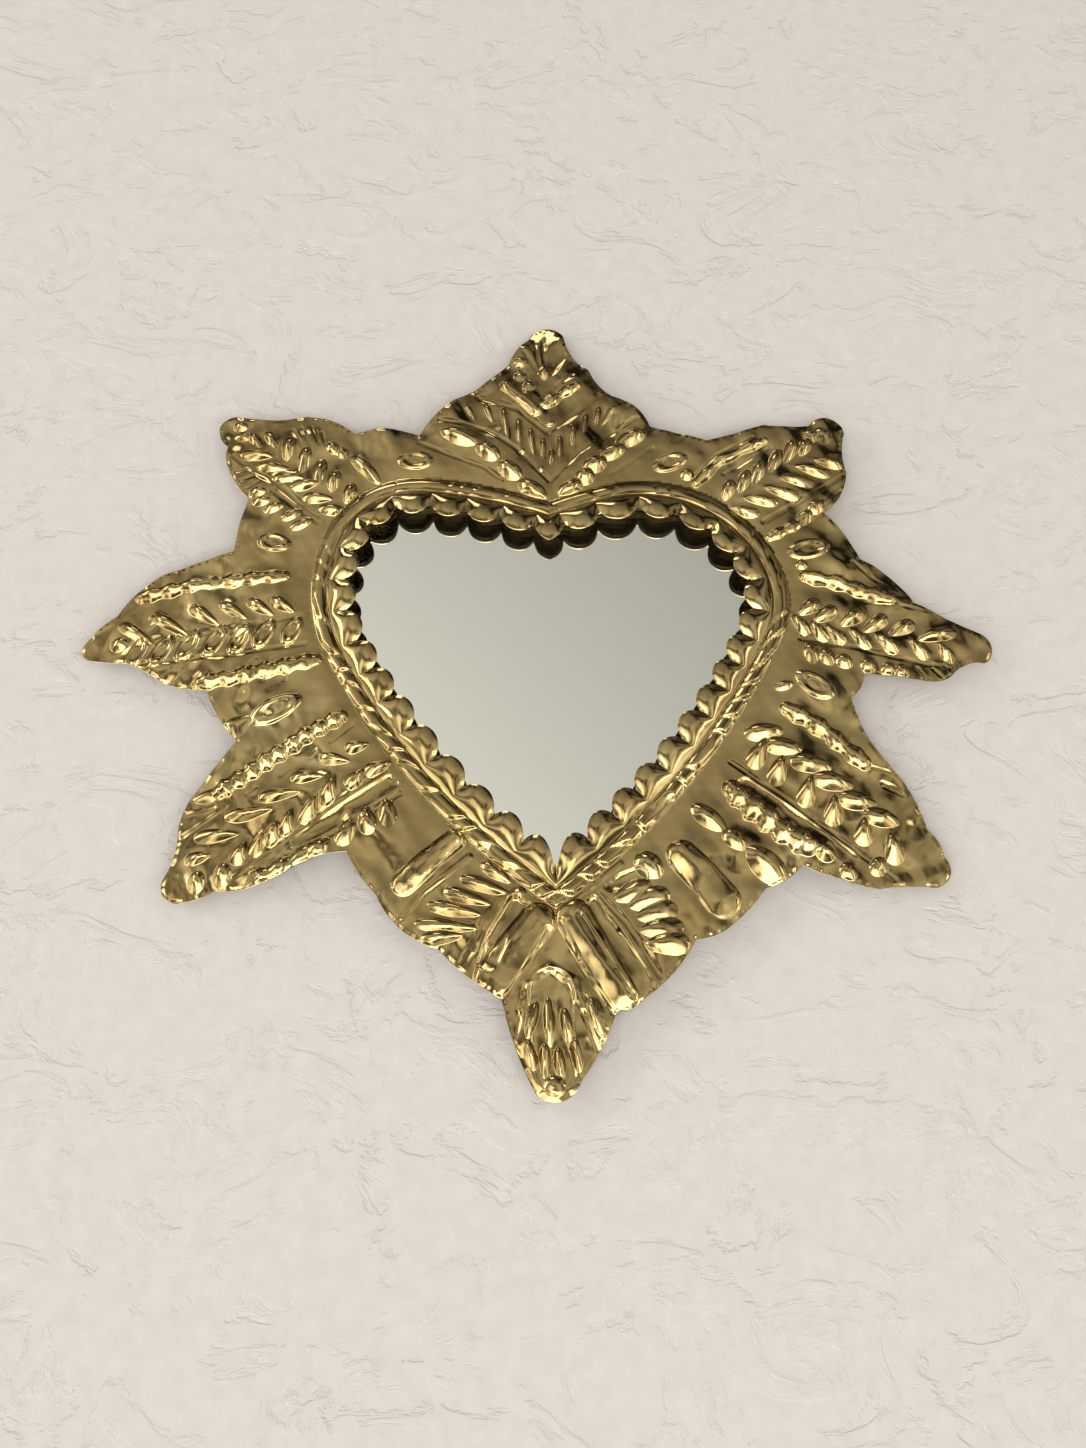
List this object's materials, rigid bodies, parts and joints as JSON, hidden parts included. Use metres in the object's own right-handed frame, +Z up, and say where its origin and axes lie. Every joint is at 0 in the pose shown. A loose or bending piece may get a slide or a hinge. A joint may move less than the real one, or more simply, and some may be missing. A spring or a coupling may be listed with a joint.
{
  "type": "wall mirror",
  "caption": "Heart-shaped wall mirror in an embossed brass sheet with leaf points and a scalloped inner rim, hung by a ring on its back.",
  "frame": {"origin": "on the wall plane, at the top of the nail that the hanging ring goes over", "axes": "+X to the right of a person who looks at the mirror, -Y out of the wall toward that person, +Z up"},
  "size_m": [0.404, 0.017, 0.3689],
  "materials": {
    "embossed_brass": "polished, hand-hammered, with small tarnish specks",
    "silvered_glass": "silvered float glass with a ground edge",
    "card": "grey-brown packing card",
    "tinned_sheet": "dull tinned sheet",
    "solder": "soft solder, satin",
    "strap_brass": "plain rolled brass",
    "steel_wire": "plain drawn wire",
    "felt": "dark wool felt"
  },
  "bodies": {
    "mirror": {"front_sheet": "embossed_brass", "mirror_glass": "silvered_glass", "packing_card": "card", "back_tray": "tinned_sheet", "glass_clips": "tinned_sheet", "solder_beads": "solder", "hanger_strap": "strap_brass", "hanger_rivet_left": "strap_brass", "hanger_rivet_right": "strap_brass", "wall_pad_left": "felt", "wall_pad_right": "felt", "wall_pad_bottom": "felt"},
    "ring": {"hanger_ring": "steel_wire"}
  },
  "joints": [
    {"name": "ring_swing", "type": "hinge", "parent": "mirror", "child": "ring", "pos_m": [0, -0.00205, -0.017], "axis": [-1, 0, 0], "range_deg": [-12, 175]}
  ]
}
